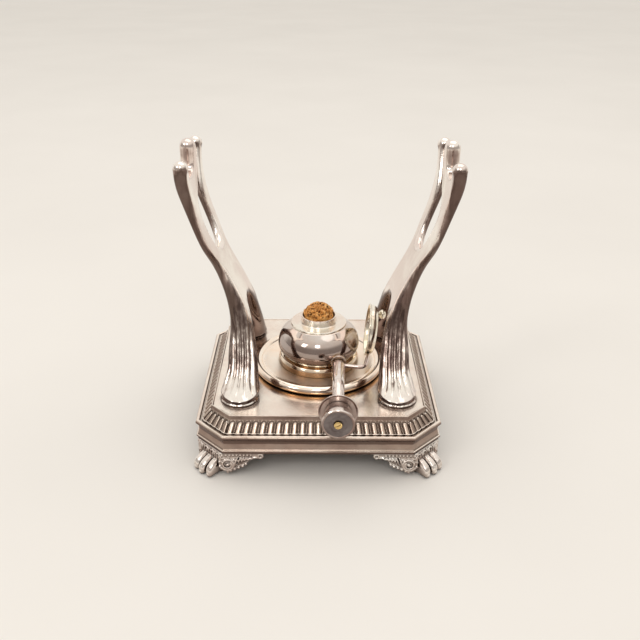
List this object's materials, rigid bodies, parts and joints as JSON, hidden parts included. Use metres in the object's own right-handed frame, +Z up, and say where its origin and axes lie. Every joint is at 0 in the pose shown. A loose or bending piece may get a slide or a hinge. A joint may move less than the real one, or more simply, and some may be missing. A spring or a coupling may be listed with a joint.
{
  "type": "spirit kettle stand with burner",
  "caption": "Eight-sided footed tray with two pronged side supports for a kettle, a central pan, and a spirit burner whose hinged snuffer cap swings on a turning handle.",
  "frame": {"origin": "on the table, under the centre of the pan", "axes": "+Z up, +X to the right-hand support, -Y towards the burner's handle"},
  "size_m": [0.2096, 0.2189, 0.2378],
  "materials": {
    "silver_tray": "polished silver plate",
    "silver_feet": "cast and silver plated, darkened in the hollows",
    "silver_pan": "polished silver plate, a little yellowed",
    "silver_supports": "polished silver plate",
    "silver_burner": "polished silver plate",
    "silver_top": "polished silver plate",
    "silver_handle": "polished silver plate, rubbed",
    "silver_snuffer": "polished silver plate, yellowed inside the cap",
    "dark_disc": "dulled disc in the knob's end",
    "brass_spindle": "worn brass",
    "steel_screws": "plain steel",
    "wick": "frayed cotton, scorched amber and brown"
  },
  "bodies": {
    "stand": {"base_tray": "silver_tray", "foot_front_left": "silver_feet", "foot_front_right": "silver_feet", "foot_back_right": "silver_feet", "foot_back_left": "silver_feet", "foot_screw_front_left": "steel_screws", "foot_screw_front_right": "steel_screws", "foot_screw_back_right": "steel_screws", "foot_screw_back_left": "steel_screws", "burner_pan": "silver_pan", "pan_screw": "steel_screws", "support_left": "silver_supports", "support_right": "silver_supports", "support_screw_front_left": "steel_screws", "support_screw_front_right": "steel_screws", "support_screw_back_right": "steel_screws", "support_screw_back_left": "steel_screws"},
    "burner": {"burner_foot": "silver_burner", "burner_bowl": "silver_burner", "burner_top": "silver_top", "wick": "wick", "handle_spindle": "brass_spindle"},
    "snuffer": {"handle_tube": "silver_handle", "handle_flange": "silver_handle", "handle_knob": "silver_handle", "handle_disc": "dark_disc", "snuffer_arm": "silver_snuffer", "snuffer_cap": "silver_snuffer", "snuffer_thumb": "silver_snuffer"}
  },
  "joints": [
    {"name": "burner_lift", "type": "slide", "parent": "stand", "child": "burner", "axis": [0, 0, 1], "range_m": [0, 0.2]},
    {"name": "snuffer_swing", "type": "hinge", "parent": "burner", "child": "snuffer", "pos_m": [0.0166, 0, 0.0658], "axis": [-0.0262, -0.9997, 0], "range_deg": [0, 96], "deforming": ["wick"]}
  ]
}
